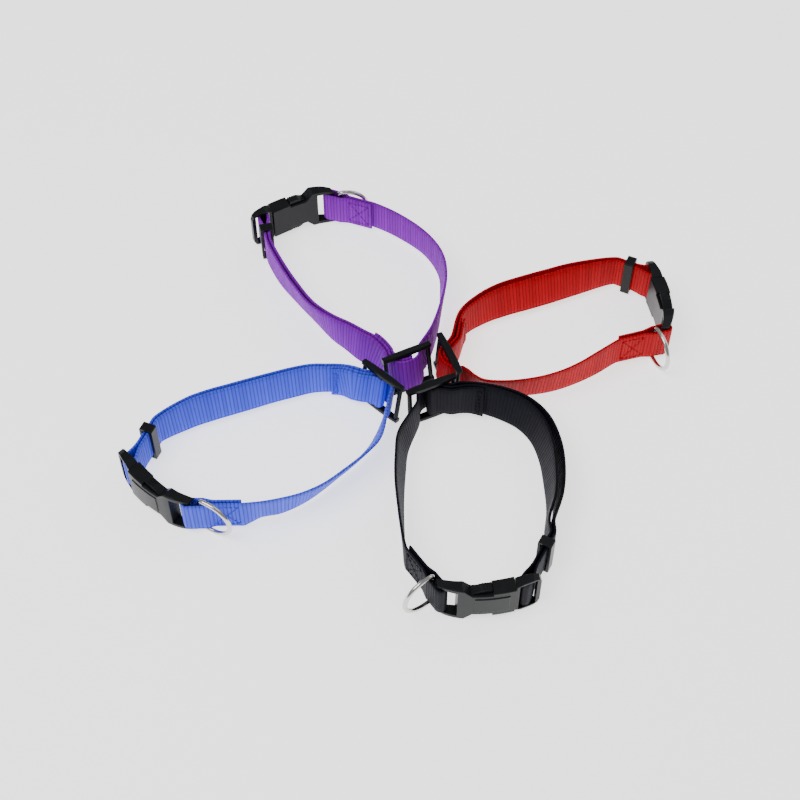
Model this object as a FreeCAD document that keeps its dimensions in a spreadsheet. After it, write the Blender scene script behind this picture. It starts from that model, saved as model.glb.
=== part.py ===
import FreeCAD, Part
import math
import os
import re

import Sketcher

# Four adjustable webbing collars standing on edge in a rosette, their strap slides meeting in the middle.
# Millimetres, +Z up. The floor is z = 0 and the origin is below the middle of the whole set.
# Each collar runs: socket with its D-ring, single strand, strap slide, doubled strand, keeper, plug.

Vector = FreeCAD.Vector
doc = FreeCAD.newDocument("Collars")

# Driving dimensions. Every size that can be set by itself stands here once.
sizes = {
    "webbing_width": 20,
    "webbing_thickness": 1.7,
    "layer_gap": 0.3,
    "side_clearance": 0.4,
    "rosette_x": 3.1,
    "rosette_y": 1.5,
    # side-release buckle, measured from the outer end of the plug along its length
    "buckle_length": 50,
    "plug_frame_length": 13,
    "plug_frame_thickness": 5.2,
    "plug_rail_width": 1.6,
    "plug_bar_length": 2.2,
    "plug_drop": 2.6,
    "seam_gap": 0.25,
    "mouth_depth": 11,
    "mouth_margin": 0.3,
    "window_length": 12,
    "waist_inset": 1.4,
    "shoulder_length": 5,
    "rail_width": 2.6,
    "body_thickness": 8,
    "body_face_radius": 75,
    "arm_thickness": 4.4,
    "arm_drop": 5.4,
    "arm_bend_radius": 30,
    "cavity_thickness": 4.8,
    "cavity_inset": 1.2,
    "bar_radius": 1.5,
    "panel_lift": 0.4,
    "panel_height": 12,
    "tongue_height": 4,
    "tongue_length": 15,
    "prong_thickness": 4.2,
    "prong_arm": 3,
    "prong_bulge": 1.3,
    "prong_tip_gap": 1,
    # strap slide
    "slide_length": 28,
    "slide_bar_radius": 1.25,
    "slide_rail_middle": 4.2,
    "slide_rail_end": 3,
    # keeper
    "keeper_length": 5,
    "keeper_wall": 1.4,
    # D-ring
    "ring_wire": 2.4,
    "ring_reach": 18,
    "ring_corner": 2.5,
    "ring_setback": 6.4,
    # sewing
    "fold_length": 27,
    "tail_fold_length": 20,
    "thread_width": 0.6,
    "thread_height": 0.4,
}

sheet = doc.addObject("Spreadsheet::Sheet", "Sizes")
for line, (alias, number) in enumerate(sizes.items(), start=1):
    sheet.set(f"A{line}", alias)
    sheet.set(f"B{line}", str(number))
    sheet.setAlias(f"B{line}", alias)
doc.recompute()

words = re.compile(r"\b(" + "|".join(sorted(sizes, key=len, reverse=True)) + r")\b")


def bound(formula):
    """The formula with each size's name written as a cell of the sheet."""
    return words.sub(r"Sizes.\1", str(formula))


def value(formula):
    """The number that a formula has with the sheet's present sizes."""
    return float(sheet.evalExpression(bound(formula)))


planes = {
    "plan": FreeCAD.Placement(),
    "side": FreeCAD.Placement(Vector(), FreeCAD.Rotation(Vector(1, 0, 0), 90)),
    "end": FreeCAD.Placement(Vector(), FreeCAD.Rotation(Vector(1, 1, 1), 120)),
}


def arcMiddle(start, end, radius):
    """A point half way round the minor arc from start to end; a negative radius bulges to the right."""
    chord = end - start
    half = chord.Length / 2
    rise = abs(radius) - math.sqrt(radius * radius - half * half)
    left = Vector(-chord.y, chord.x, 0).normalize()
    return (start + end) * 0.5 + left * math.copysign(rise, radius)


def outline(name, plane, corners, bends=None):
    """A closed sketch. Corners are pairs of formulas; bends gives a side's radius, positive bulging left."""
    bends = bends or {}
    sketch = doc.addObject("Sketcher::SketchObject", name)
    sketch.Placement = planes[plane]
    points = [Vector(value(x), value(y), 0) for x, y in corners]
    count = len(points)
    first = []
    last = []
    for side in range(count):
        start = points[side]
        end = points[(side + 1) % count]
        if side in bends:
            radius = value(bends[side])
            sketch.addGeometry(Part.Arc(start, arcMiddle(start, end, radius), end), False)
        else:
            sketch.addGeometry(Part.LineSegment(start, end), False)
        forward = sketch.getPoint(side, 1).distanceToPoint(start) < 1e-6
        first.append(1 if forward else 2)
        last.append(2 if forward else 1)
    for side in range(count):
        following = (side + 1) % count
        sketch.addConstraint(Sketcher.Constraint("Coincident", side, last[side], following, first[following]))
    for side, (x, y) in enumerate(corners):
        for kind, formula, now in (("DistanceX", x, points[side].x), ("DistanceY", y, points[side].y)):
            index = sketch.addConstraint(Sketcher.Constraint(kind, -1, 1, side, first[side], now))
            sketch.setExpression(f"Constraints[{index}]", bound(formula))
    for side, radius in bends.items():
        index = sketch.addConstraint(Sketcher.Constraint("Radius", side, abs(value(radius))))
        sketch.setExpression(f"Constraints[{index}]", f"abs({bound(radius)})")
    return sketch


def extruded(name, plane, corners, ahead, behind="0", bends=None):
    """A solid pushed out of an outline along the plane's normal, ahead and behind."""
    solid = doc.addObject("Part::Extrusion", name)
    solid.Base = outline(name + "_outline", plane, corners, bends)
    solid.DirMode = "Normal"
    solid.Solid = True
    solid.setExpression("LengthFwd", bound(ahead))
    solid.setExpression("LengthRev", bound(behind))
    return solid


def mirroredPairs(corners):
    """An upper outline from left to right, closed by its mirror image below the long axis."""
    lower = [(x, f"-({y})") for x, y in reversed(corners)]
    return corners + lower


def post(name, radius, height, x, y):
    """A round bar standing on end, centred on its height."""
    bar = doc.addObject("Part::Cylinder", name)
    bar.setExpression("Radius", bound(radius))
    bar.setExpression("Height", bound(height))
    bar.setExpression("Placement.Base.x", bound(x))
    bar.setExpression("Placement.Base.y", bound(y))
    bar.setExpression("Placement.Base.z", bound(f"-({height})/2"))
    return bar


def block(name, low, high):
    """A box between two corners given as formulas."""
    box = doc.addObject("Part::Box", name)
    for side, a, b in zip(("Length", "Width", "Height"), low, high):
        box.setExpression(side, bound(f"({b})-({a})"))
    for axis, a in zip("xyz", low):
        box.setExpression(f"Placement.Base.{axis}", bound(a))
    return box


def joined(name, pieces):
    whole = doc.addObject("Part::MultiFuse", name)
    whole.Shapes = pieces
    whole.Refine = True
    return whole


def shared(name, pieces):
    whole = doc.addObject("Part::MultiCommon", name)
    whole.Shapes = pieces
    whole.Refine = True
    return whole


def cut(name, base, tools):
    for number, tool in enumerate(tools):
        piece = doc.addObject("Part::Cut", f"{name}_cut{number}")
        piece.Base = base
        piece.Tool = tool
        piece.Refine = True
        base = piece
    return base


def softened(name, base, radius, wanted):
    """Rounds the edges that wanted() picks."""
    doc.recompute()
    rounded = doc.addObject("Part::Fillet", name)
    rounded.Base = base
    reach = value(radius)
    rounded.Edges = [(n, reach, reach) for n, edge in enumerate(base.Shape.Edges, start=1) if wanted(edge)]
    return rounded


def flanks(edge):
    """The long edges that run along a moulding at one height."""
    start = edge.Vertexes[0].Point
    end = edge.Vertexes[-1].Point
    level = abs(start.z - end.z) < 0.01
    return level and edge.Length > value("1.5*webbing_thickness") and abs(start.x - end.x) > 1


# ---- heights across the webbing, all following its width

innerHeight = "(webbing_width+2*side_clearance)"
shoulderHeight = f"({innerHeight}+2*rail_width)"
plugHeight = f"({innerHeight}+2*plug_rail_width)"
mouthHeight = "(webbing_width+2*mouth_margin)"
waistHeight = "(webbing_width-2*waist_inset)"
cavityHeight = "(webbing_width-2*cavity_inset)"
middleHeight = f"({shoulderHeight}/2)"

# ---- side-release buckle: X along its length from the plug's outer end, Y outwards, Z across the webbing

seam = "plug_frame_length"
windowStart = "(plug_frame_length+mouth_depth)"
windowEnd = "(plug_frame_length+mouth_depth+window_length)"
slotStart = "(plug_frame_length+mouth_depth+window_length+shoulder_length)"
barAlong = "(buckle_length-bar_radius-0.3)"
barDrop = "(arm_drop-bar_radius)"
crossbarAlong = "(plug_frame_length-3*bar_radius-1)"
crossbarDrop = "(plug_drop-0.6)"
cavityMiddle = "-0.3"
mouthDrop = "0.6"


def facePlane(along):
    """How far out the socket's front face stands at a place along the buckle."""
    run = f"({windowEnd}-{seam})"
    past = f"(({along})-{seam})"
    bulged = f"{past}*({run}-{past})/(2*body_face_radius)"
    return f"(body_thickness/2-{mouthDrop}-{mouthDrop}*{past}/{run}+{bulged})"


def socketBody(name):
    plan = extruded(
        name + "_plan",
        "plan",
        [
            (seam, facePlane(seam)),
            (windowEnd, facePlane(windowEnd)),
            ("buckle_length", "-arm_drop+arm_thickness/2"),
            ("buckle_length", "-arm_drop-arm_thickness/2"),
            (windowEnd, "-body_thickness/2"),
            (seam, f"-body_thickness/2-{mouthDrop}"),
        ],
        shoulderHeight,
        shoulderHeight,
        {0: "body_face_radius", 1: "arm_bend_radius", 3: "-arm_bend_radius", 4: "-2*body_face_radius"},
    )
    side = extruded(
        name + "_side",
        "side",
        mirroredPairs(
            [
                (seam, mouthHeight + "/2"),
                (windowStart, mouthHeight + "/2"),
                (windowStart, waistHeight + "/2"),
                (windowEnd + "-1.5", waistHeight + "/2"),
                (windowEnd + "+2.5", shoulderHeight + "/2"),
                (slotStart + "+2", shoulderHeight + "/2"),
                ("buckle_length", shoulderHeight + "/2-1.2"),
            ]
        ),
        "2*body_thickness",
        "2*body_thickness",
    )
    whole = shared(name + "_whole", [plan, side])
    return softened(name + "_soft", whole, "0.7", flanks)


def buildSocket(name):
    cavity = block(
        name + "_cavity",
        (seam + "-1", f"{cavityMiddle}-cavity_thickness/2", f"-{cavityHeight}/2"),
        (windowEnd, f"{cavityMiddle}+cavity_thickness/2", f"{cavityHeight}/2"),
    )
    slot = block(
        name + "_slot",
        (slotStart, "-3*body_thickness", f"-{innerHeight}/2"),
        ("buckle_length+1", "3*body_thickness", f"{innerHeight}/2"),
    )
    hollow = cut(name, socketBody(name), [cavity, slot])
    bar = post(name + "_bar", "bar_radius", f"{innerHeight}+1", barAlong, f"-{barDrop}")
    left = f"({seam}+3)"
    right = f"({windowEnd}-3)"
    panel = extruded(
        name + "_panel",
        "plan",
        [
            (left, facePlane(left) + "-panel_lift"),
            (left, facePlane(left) + "+panel_lift"),
            (right, facePlane(right) + "+panel_lift"),
            (right, facePlane(right) + "-panel_lift"),
        ],
        "panel_height/2",
        "panel_height/2",
        {1: "body_face_radius"},
    )
    return joined(name, [hollow, bar, panel])


def buildPlug(name):
    base = f"({seam}-seam_gap)"
    plan = extruded(
        name + "_plan",
        "plan",
        [
            ("0", "-plug_drop+1.5"),
            (base, f"-{mouthDrop}+plug_frame_thickness/2+0.4"),
            (base, f"-{mouthDrop}-plug_frame_thickness/2-0.4"),
            ("0", "-plug_drop-1.5"),
        ],
        plugHeight,
        plugHeight,
        {0: "body_face_radius"},
    )
    side = extruded(
        name + "_side",
        "side",
        [
            ("0", plugHeight + "/2-3.6"),
            ("1.1", plugHeight + "/2-1.3"),
            ("4", plugHeight + "/2"),
            (base + "-4", plugHeight + "/2"),
            (base, mouthHeight + "/2"),
            (base, f"-{mouthHeight}/2"),
            (base + "-4", f"-{plugHeight}/2"),
            ("4", f"-{plugHeight}/2"),
            ("1.1", f"-{plugHeight}/2+1.3"),
            ("0", f"-{plugHeight}/2+3.6"),
        ],
        "2*body_thickness",
        "2*body_thickness",
    )
    frame = softened(name + "_soft", shared(name + "_whole", [plan, side]), "0.5", flanks)
    window = block(
        name + "_window",
        ("plug_bar_length", "-3*body_thickness", f"-{innerHeight}/2"),
        (base + "-plug_rail_width", "3*body_thickness", f"{innerHeight}/2"),
    )
    hollow = cut(name, frame, [window])
    bar = post(name + "_crossbar", "bar_radius", f"{innerHeight}+1", crossbarAlong, f"-{crossbarDrop}")
    tongue = block(
        name + "_tongue",
        (base + "-0.5", f"{cavityMiddle}-prong_thickness/2", "-tongue_height/2"),
        (base + "+tongue_length", f"{cavityMiddle}+prong_thickness/2", "tongue_height/2"),
    )
    return joined(name, [hollow, bar, tongue])


def buildProng(name, way):
    """A springy arm with a ridged catch; way is +1 or -1 across the webbing."""
    root = f"({seam}-seam_gap+0.25)"
    shoulder = f"({windowStart}+0.5)"
    tip = f"({windowEnd}-prong_tip_gap)"
    low = f"({cavityHeight}/2-0.5-prong_arm)"
    high = f"({cavityHeight}/2-0.5)"
    bulge = "(webbing_width/2+prong_bulge)"
    corners = [(root, low), (root, high), (shoulder, high)]
    for ridge in range(4):
        start = f"({shoulder}+{ridge}*1.3)"
        corners.append((start, bulge))
        corners.append((start + "+0.8", bulge))
        corners.append((start + "+0.9", bulge + "-0.45"))
    corners += [(shoulder + "+5.4", bulge + "-0.2"), (tip, bulge + "-3")]
    corners += [(tip, low + "+0.6"), (tip + "-0.8", low)]
    if way < 0:
        corners = [(x, f"-({y})") for x, y in corners]
    return extruded(
        name,
        "side",
        corners,
        f"prong_thickness/2-({cavityMiddle})",
        f"prong_thickness/2+({cavityMiddle})",
    )


def buildKeeper(name):
    depth = "(2*webbing_thickness+layer_gap+2*side_clearance)"
    ring = block(
        name + "_outside",
        ("-keeper_length/2", f"-{depth}/2-keeper_wall", f"-{innerHeight}/2-keeper_wall"),
        ("keeper_length/2", f"{depth}/2+keeper_wall", f"{innerHeight}/2+keeper_wall"),
    )
    soft = softened(name + "_soft", ring, "0.7", flanks)
    hole = block(
        name + "_hole",
        ("-keeper_length", f"-{depth}/2", f"-{innerHeight}/2"),
        ("keeper_length", f"{depth}/2", f"{innerHeight}/2"),
    )
    return cut(name, soft, [hole])


def buildSlide(name):
    """A three-bar strap slide: two end bars, a centre bar and two rails, fattest at mid-length."""
    end = "(slide_length/2)"
    rise = "((slide_rail_middle-slide_rail_end)/2)"
    bend = f"(({end})^2+{rise}^2)/(2*{rise})"
    pieces = []
    for rail, foot in (("upper", innerHeight + "/2"), ("lower", f"-{innerHeight}/2-rail_width")):
        lens = extruded(
            f"{name}_{rail}_rail",
            "plan",
            [
                (f"-{end}", "slide_rail_end/2"),
                (end, "slide_rail_end/2"),
                (end, "-slide_rail_end/2"),
                (f"-{end}", "-slide_rail_end/2"),
            ],
            "rail_width",
            "0",
            {0: bend, 2: bend},
        )
        isLong = lambda edge: edge.Length > value("slide_length/2")
        soft = softened(f"{name}_{rail}_soft", lens, "0.6", isLong)
        soft.setExpression("Placement.Base.z", bound(foot))
        pieces.append(soft)
    outer = f"{end}-slide_bar_radius-0.2"
    for bar, along in (("near", f"-({outer})"), ("middle", "0"), ("far", outer)):
        pieces.append(post(f"{name}_{bar}_bar", "slide_bar_radius", innerHeight + "+1", along, "0"))
    return joined(name, pieces)


def buildRing(name):
    """A D-ring with its straight side on Z and its bow towards X."""
    half = f"({shoulderHeight}/2-0.2-ring_wire/2)"
    start = f"(ring_reach-ring_wire/2-{half})"
    spine = outline(
        name + "_spine",
        "side",
        [
            ("0", f"-({half}-ring_corner)"),
            ("0", f"{half}-ring_corner"),
            ("ring_corner", half),
            (start, half),
            ("ring_reach-ring_wire/2", "0"),
            (start, f"-{half}"),
            ("ring_corner", f"-{half}"),
        ],
        {1: "ring_corner", 3: half, 4: half, 6: "ring_corner"},
    )
    section = doc.addObject("Part::Circle", name + "_section")
    section.setExpression("Radius", bound("ring_wire/2"))
    section.setExpression("Placement.Base.z", bound(f"-({half}-ring_corner)"))
    doc.recompute()
    ring = doc.addObject("Part::Sweep", name)
    ring.Sections = [section]
    ring.Spine = (spine, [f"Edge{n}" for n in range(1, 8)])
    ring.Solid = True
    ring.Frenet = False
    return ring


# ---- webbing, laid along stations: each is a point on the strap's middle line and the direction across it

up = Vector(0, 0, 1)
thickness = value("webbing_thickness")
layerStep = thickness + value("layer_gap")
wrap = value("bar_radius+layer_gap/2+webbing_thickness/2")
slideWrap = value("slide_bar_radius+layer_gap/2+webbing_thickness/2")
middle = value(middleHeight)


def heading(angle):
    """A level direction at an angle in degrees."""
    return Vector(math.cos(math.radians(angle)), math.sin(math.radians(angle)), 0)


def smoothed(stations, step):
    """The same path with stations about every step millimetres, on a smooth curve through the given ones."""
    rows = [tuple(point) + tuple(across) + (extra,) for point, across, extra in stations]
    knots = [0.0]
    for before, after in zip(rows, rows[1:]):
        knots.append(knots[-1] + math.sqrt(math.dist(before[:3], after[:3])))
    slopes = []
    for n, row in enumerate(rows):
        low = max(n - 1, 0)
        high = min(n + 1, len(rows) - 1)
        steps = []
        for part in range(7):
            if low == n or high == n:
                steps.append((rows[high][part] - rows[low][part]) / (knots[high] - knots[low]))
                continue
            back = (row[part] - rows[low][part]) / (knots[n] - knots[low])
            ahead = (rows[high][part] - row[part]) / (knots[high] - knots[n])
            share = (knots[n] - knots[low]) / (knots[high] - knots[low])
            steps.append(back * (1 - share) + ahead * share)
        slopes.append(steps)
    result = []
    for n in range(len(rows) - 1):
        width = knots[n + 1] - knots[n]
        pieces = max(1, round(math.dist(rows[n][:3], rows[n + 1][:3]) / step))
        for piece in range(pieces):
            t = piece / pieces
            start = 2 * t**3 - 3 * t**2 + 1
            leave = (t**3 - 2 * t**2 + t) * width
            finish = 3 * t**2 - 2 * t**3
            arrive = (t**3 - t**2) * width
            mixed = []
            for part in range(7):
                here = rows[n][part] * start + slopes[n][part] * leave
                mixed.append(here + rows[n + 1][part] * finish + slopes[n + 1][part] * arrive)
            result.append((Vector(*mixed[:3]), Vector(*mixed[3:6]).normalize(), mixed[6]))
    result.append(stations[-1])
    return result


def lengths(stations):
    """Distance along the path at each station."""
    run = [0.0]
    for before, after in zip(stations, stations[1:]):
        run.append(run[-1] + (after[0] - before[0]).Length)
    return run


def normals(stations, side):
    """The direction out of the webbing's outer face at each station."""
    result = []
    for n, station in enumerate(stations):
        along = stations[min(n + 1, len(stations) - 1)][0] - stations[max(n - 1, 0)][0]
        result.append(station[1].cross(along).normalize() * side)
    return result


def ribbon(stations, width, depth):
    """A solid strap: four smooth edges carried along the stations, the faces between them and two ends."""
    centres = [station[0] for station in stations]
    knots = [0.0]
    for before, after in zip(centres, centres[1:]):
        knots.append(knots[-1] + (after - before).Length)
    line = Part.BSplineCurve()
    line.interpolate(Points=centres, Parameters=knots)
    rails = [[], [], [], []]
    for n, station in enumerate(stations):
        along = Vector(*line.tangent(knots[n])[0])
        across = (station[1] - along * station[1].dot(along)).normalize()
        out = across.cross(along)
        for rail, (a, b) in enumerate(((1, 1), (1, -1), (-1, -1), (-1, 1))):
            rails[rail].append(centres[n] + across * (a * width / 2) + out * (b * depth / 2))
    curves = []
    for rail in rails:
        curve = Part.BSplineCurve()
        curve.interpolate(Points=rail, Parameters=knots)
        curves.append(curve)
    joints = knots[:-1:4] + [knots[-1]]
    faces = []
    for low, high in zip(joints, joints[1:]):
        edges = [curve.toShape(low, high) for curve in curves]
        faces += [Part.makeRuledSurface(edges[n], edges[(n + 1) % 4], 1) for n in range(4)]
    for end in (0, -1):
        corners = [rail[end] for rail in rails]
        faces.append(Part.Face(Part.makePolygon(corners + [corners[0]])))
    shell = Part.Shell(faces)
    shell.sewShape()
    solid = Part.Solid(shell)
    if solid.Volume < 0:
        solid.reverse()
    return solid


def standing(points, side):
    """Stations for webbing on edge, from points of (x, y, degrees the top leans outwards, spread)."""
    result = []
    for n, (x, y, lean, *spread) in enumerate(points):
        before = points[max(n - 1, 0)]
        after = points[min(n + 1, len(points) - 1)]
        along = Vector(after[0] - before[0], after[1] - before[1], 0).normalize()
        outward = Vector(-along.y, along.x, 0) * side
        tilt = math.radians(lean)
        across = up * math.cos(tilt) + outward * math.sin(tilt)
        result.append((Vector(x, y, middle), across, spread[0] if spread else 0))
    return result


class Frame:
    """A local frame on the rosette: along, outward and across directions at a point."""

    def __init__(self, x, y, along, side, lean=0, lift=0):
        self.place = Vector(x, y, middle + lift)
        self.along = along
        level = Vector(-along.y, along.x, 0) * side
        tilt = math.radians(lean)
        self.outward = level * math.cos(tilt) - up * math.sin(tilt)
        self.across = up * math.cos(tilt) + level * math.sin(tilt)
        self.side = side

    def at(self, u, v, spread=0):
        return (self.place + self.along * u + self.outward * v, self.across, spread)

    def point(self, u, v):
        return self.place + self.along * u + self.outward * v

    def rotation(self):
        """X along, Y outwards and Z across."""
        return FreeCAD.Rotation(self.along, self.outward, self.along.cross(self.outward), "XYZ")


def foldSpread(distance, held):
    """Half the spread of the two layers of a loop at a distance from the bar inside it."""
    table = [(0, wrap), (3, wrap), (5, wrap * 0.8), (7.5, wrap * 0.56)]
    table += [(10, layerStep / 2 + 0.05), (13, layerStep / 2)]
    if held:
        kept = value("ring_wire/2+webbing_thickness/2+0.35")
        table = [(0, wrap), (3, wrap), (5, kept), (7.8, kept), (10.5, kept * 0.7)]
        table += [(13, layerStep / 2 + 0.1), (18, layerStep / 2)]
    for (near, a), (far, b) in zip(table, table[1:]):
        if distance <= far:
            return a + (b - a) * (distance - near) / (far - near)
    return layerStep / 2


def turnRound(frame, radius):
    """Stations half way round a bar at the frame's point, from the inner side to the outer side."""
    result = []
    for turn in range(1, 6):
        angle = math.radians(30 * turn)
        result.append(frame.at(-radius * math.sin(angle), -radius * math.cos(angle)))
    return result


# ---- the four collars. Directions are degrees from X; points are (x, y, lean, spread) between fittings.
# "side" is 1 where the outside lies to the left of the way round, and -1 where it lies to the right,
# which also turns the fittings over.

collars = {
    "blue": {
        "side": -1,
        "buckle": (-143.4, -50.7, -42.6),
        "strand": 1,
        "slide": (-10.2, -4.0, 137.2, 10),
        "single": [
            (-70, -78.2, 11), (-60, -76, 12), (-50, -72, 17), (-40.5, -66, 22), (-30.5, -57, 25),
            (-19.5, -46, 26), (-13, -37, 25),
        ],
        "doubled": [
            (-31, 4.6, 5, 2), (-39, 5, 4, 2), (-47, 4.6, 6, 2), (-58, 1.6, 8, 2.2),
            (-69, -2, 8, 2.4), (-80, -6, 9, 2.5), (-90, -9.7, 10, 2.5), (-100, -13.4, 11, 2.4),
            (-110, -18, 10, 2.2),
        ],
        "keeper": 20,
        "loop": 66.8,
        "ring": 30,
        "leaving": [(8.3, -0.9), (10.8, -2.9), (13.6, -4.4)],
    },
    "violet": {
        "side": 1,
        "buckle": (-86, 114.6, 27.6),
        "strand": -20,
        "slide": (4.4, 10.6, 206, -12),
        "single": [
            (-2, 117, 0), (14.5, 102, 0), (23, 86, 4), (24.3, 70, 8), (21.8, 50, 3),
            (17.2, 32, -3), (13.8, 24, -8),
        ],
        "doubled": [
            (-14.5, 23, -12, 2.7), (-21, 27.8, -11, 2.5), (-28.5, 34, -5, 2.2), (-36.5, 40, 2, 2),
            (-46.5, 50.5, 12, 2.2), (-57, 65, 9, 2.4), (-67, 81, 2, 2.3),
        ],
        "keeper": 12.5,
        "loop": 282,
        "ring": 22,
        "leaving": [(7.8, -0.8), (8.9, -4.6), (9, -9)],
    },
    "red": {
        "side": 1,
        "buckle": (141, 80.3, -82.5),
        "strand": 196,
        "slide": (25.4, 12.2, 111.8, -4),
        "single": [
            (106, 15.5, 0), (95, 8.5, 4), (85, 3.6, 7), (75, 0.4, 10), (65, -1.2, 13),
            (55, -0.9, 20), (44, 1.6, 26),
        ],
        "doubled": [
            (34, 43, 3, 2.2), (46, 54, 10, 3.4), (57, 60, 15, 4.4), (68, 64.3, 17, 4.8),
            (82, 69.4, 17, 4.6), (97, 75, 14, 3.8),
        ],
        "keeper": 13,
        "loop": 155,
        "ring": 95,
        "leaving": [(8, -0.9), (10, -4), (12.5, -7.5)],
    },
    "black": {
        "side": 1,
        "buckle": (67.7, -124.95, 188),
        "strand": 125,
        "slide": (16.6, -9.4, 24.8, 4),
        "single": [
            (1.5, -95, 4), (0.3, -80, 8), (-0.3, -65, 12), (0.2, -50, 14), (1.5, -37, 14),
        ],
        "doubled": [
            (37, -7.2, 6, 2), (47, -9.6, 12, 2.2), (56, -13, 16, 2.8), (65, -18.5, 17, 3.6),
            (72.5, -28, 17, 4.2), (77, -42, 16, 4.5), (78.3, -58, 14, 4.4), (77.5, -74, 9, 3.4),
            (74, -89, 2, 2.4),
        ],
        "keeper": 23,
        "loop": 62,
        "ring": 92,
        "leaving": [(8.3, -0.9), (11, -2.6), (14, -3.3)],
    },
}

made = []


def settle(item, name, frame=None, u=0, v=0):
    """Names a piece and puts it on its frame; the spot follows the rosette's own offset."""
    item.Label = name
    place = frame.point(u, v) if frame else Vector()
    rotation = frame.rotation() if frame else FreeCAD.Rotation()
    item.Placement = FreeCAD.Placement(place, rotation)
    for axis, shift in (("x", "rosette_x"), ("y", "rosette_y")):
        item.setExpression(f"Placement.Base.{axis}", f"{getattr(place, axis):.6f}-{bound(shift)}")
    made.append(item)
    return item


def strap(name, stations, width=None, depth=None):
    """A strap of webbing as one solid."""
    item = doc.addObject("Part::Feature", name)
    item.Shape = ribbon(stations, width or value("webbing_width"), depth or thickness)
    return settle(item, name)


def between(stations, start, finish):
    """The stations from one distance to another along the path, with exact ends."""
    run = lengths(stations)

    def at(distance):
        for n in range(len(run) - 1):
            if run[n + 1] >= distance:
                share = (distance - run[n]) / (run[n + 1] - run[n])
                one, two = stations[n], stations[n + 1]
                return tuple(one[k] * (1 - share) + two[k] * share for k in range(3))
        return stations[-1]

    inner = [station for station, along in zip(stations, run) if start + 0.4 < along < finish - 0.4]
    return [at(start)] + inner + [at(finish)]


def layered(stations, side, offset):
    """The stations moved out of the webbing's face; offset gives the distance for a station's number."""
    outs = normals(stations, side)
    return [(s[0] + outs[n] * offset(n), s[1], s[2]) for n, s in enumerate(stations)]


def threads(name, path, side, start, finish, offsets):
    """A sewn box with its two diagonals, on the faces at the given offsets from the path."""
    reach = value("webbing_width") / 2 - 2.5
    width = value("thread_width")
    height = value("thread_height")
    near = start + 1
    far = finish - 1
    centre = (start + finish) / 2
    lines = [((near, reach), (far, reach)), ((far, -reach), (near, -reach))]
    lines += [((start, -reach + 1), (start, reach - 1)), ((finish, reach - 1), (finish, -reach + 1))]
    lines.append(((near, reach - 1.5), (far, -reach + 1.5)))
    lines.append(((near, -reach + 1.5), (centre - 0.6, -1)))
    lines.append(((centre + 0.6, 1), (far, reach - 1.5)))
    sewn = between(path, start - 2, finish + 2)
    run = lengths(sewn)
    outs = normals(sewn, side)
    shapes = []
    for offset in offsets:
        seat = math.copysign(thickness / 2 + height / 2 - 0.15, offset) if offset else 0
        for (s0, w0), (s1, w1) in lines:
            thread = []
            for piece in range(7):
                s = (s0 + (s1 - s0) * piece / 6) - start + 2
                w = w0 + (w1 - w0) * piece / 6
                n = max(k for k in range(len(run) - 1) if run[k] <= s)
                share = (s - run[n]) / (run[n + 1] - run[n])
                centre = sewn[n][0] * (1 - share) + sewn[n + 1][0] * share
                across = (sewn[n][1] * (1 - share) + sewn[n + 1][1] * share).normalize()
                out = (outs[n] * (1 - share) + outs[n + 1] * share).normalize()
                along = (sewn[n + 1][0] - sewn[n][0]).normalize()
                away = (across * (s1 - s0) - along * (w1 - w0)).normalize()
                thread.append((centre + across * w + out * (offset + seat), away, 0))
            shapes.append(ribbon(thread, width, height))
    item = doc.addObject("Part::Feature", name)
    item.Shape = Part.Compound(shapes)
    return settle(item, name)


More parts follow.
